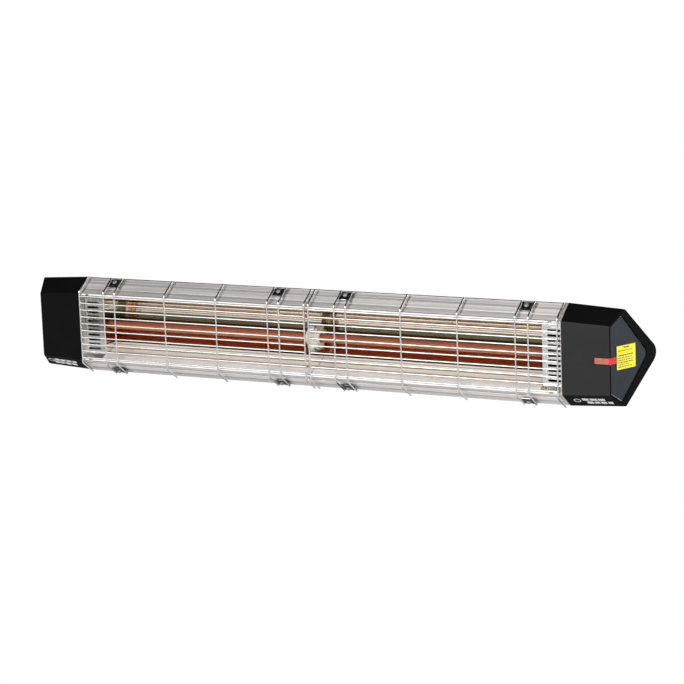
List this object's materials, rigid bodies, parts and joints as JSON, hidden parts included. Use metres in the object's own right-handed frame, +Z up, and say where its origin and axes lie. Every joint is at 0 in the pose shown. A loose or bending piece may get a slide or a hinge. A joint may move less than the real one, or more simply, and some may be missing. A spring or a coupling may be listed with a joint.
{
  "type": "infrared heater",
  "caption": "Wall mounted linear infrared heater: ruby lamps end to end in a mirror trough behind wire guards, tapered end caps, tilting rear brackets.",
  "frame": {"origin": "on the wall plane, midway between the two wall brackets, level with the tilt axis", "axes": "+X along the heater towards the end with the indicator lens, +Y into the wall, +Z up; the lamps face -Y"},
  "size_m": [0.8974, 0.1722, 0.1326],
  "materials": {
    "housing_aluminium": "brushed and anodised, warm grey",
    "mirror_aluminium": "bright rolled reflector sheet",
    "guard_wire": "polished stainless wire, spot welded",
    "clip_black": "black coated spring steel",
    "plated_steel": "zinc plated",
    "cap_black": "fine textured black moulding",
    "panel_slate": "smooth slate grey",
    "ruby_quartz": "ruby coated quartz tube",
    "filament_wire": "tungsten coil",
    "holder_ceramic": "unglazed steatite",
    "indicator_red": "ribbed red lens",
    "label_yellow": "yellow label with dark border and plain bars",
    "gland_black": "moulded nylon",
    "terminal_ceramic": "terminal strip",
    "lead_sleeve": "glass braid sleeve"
  },
  "bodies": {
    "wall_mount": {"pivot_bolt_left": "plated_steel", "pivot_bolt_right": "plated_steel", "pivot_nut_left": "plated_steel", "pivot_nut_right": "plated_steel", "wall_bracket_left": "plated_steel", "wall_bracket_right": "plated_steel"},
    "heater": {"cable_gland": "gland_black", "clip_screw_inner_lower_left": "plated_steel", "clip_screw_inner_lower_right": "plated_steel", "clip_screw_inner_upper_left": "plated_steel", "clip_screw_inner_upper_right": "plated_steel", "clip_screw_outer_lower_left": "plated_steel", "clip_screw_outer_lower_right": "plated_steel", "clip_screw_outer_upper_left": "plated_steel", "clip_screw_outer_upper_right": "plated_steel", "end_cap_left": "cap_black", "end_cap_right": "cap_black", "end_panel_left": "panel_slate", "end_panel_right": "panel_slate", "end_plate_left": "housing_aluminium", "end_plate_right": "housing_aluminium", "filament_left": "filament_wire", "filament_right": "filament_wire", "gland_nut": "gland_black", "guard_clip_inner_lower_left": "clip_black", "guard_clip_inner_lower_right": "clip_black", "guard_clip_inner_upper_left": "clip_black", "guard_clip_inner_upper_right": "clip_black", "guard_clip_outer_lower_left": "clip_black", "guard_clip_outer_lower_right": "clip_black", "guard_clip_outer_upper_left": "clip_black", "guard_clip_outer_upper_right": "clip_black", "guard_left": "guard_wire", "guard_right": "guard_wire", "housing_shell": "housing_aluminium", "indicator_lamp": "indicator_red", "indicator_lens": "indicator_red", "lamp_base_left": "holder_ceramic", "lamp_base_right": "holder_ceramic", "lamp_holder_left": "holder_ceramic", "lamp_holder_right": "holder_ceramic", "lamp_tube_left": "ruby_quartz", "lamp_tube_right": "ruby_quartz", "lead_common": "lead_sleeve", "lead_left_lamp": "lead_sleeve", "lead_right_lamp": "lead_sleeve", "middle_bracket": "plated_steel", "middle_clip_lower": "plated_steel", "middle_clip_upper": "plated_steel", "middle_lamp_holder": "holder_ceramic", "pivot_lug_left": "plated_steel", "pivot_lug_right": "plated_steel", "rating_label": "label_yellow", "reflector_left": "mirror_aluminium", "reflector_right": "mirror_aluminium", "terminal_block": "terminal_ceramic", "vent_plate_left": "mirror_aluminium", "vent_plate_right": "mirror_aluminium"}
  },
  "joints": [
    {"name": "tilt", "type": "hinge", "parent": "wall_mount", "child": "heater", "pos_m": [0, -0.055, 0], "axis": [1, 0, 0], "range_deg": [-45, 45]}
  ]
}
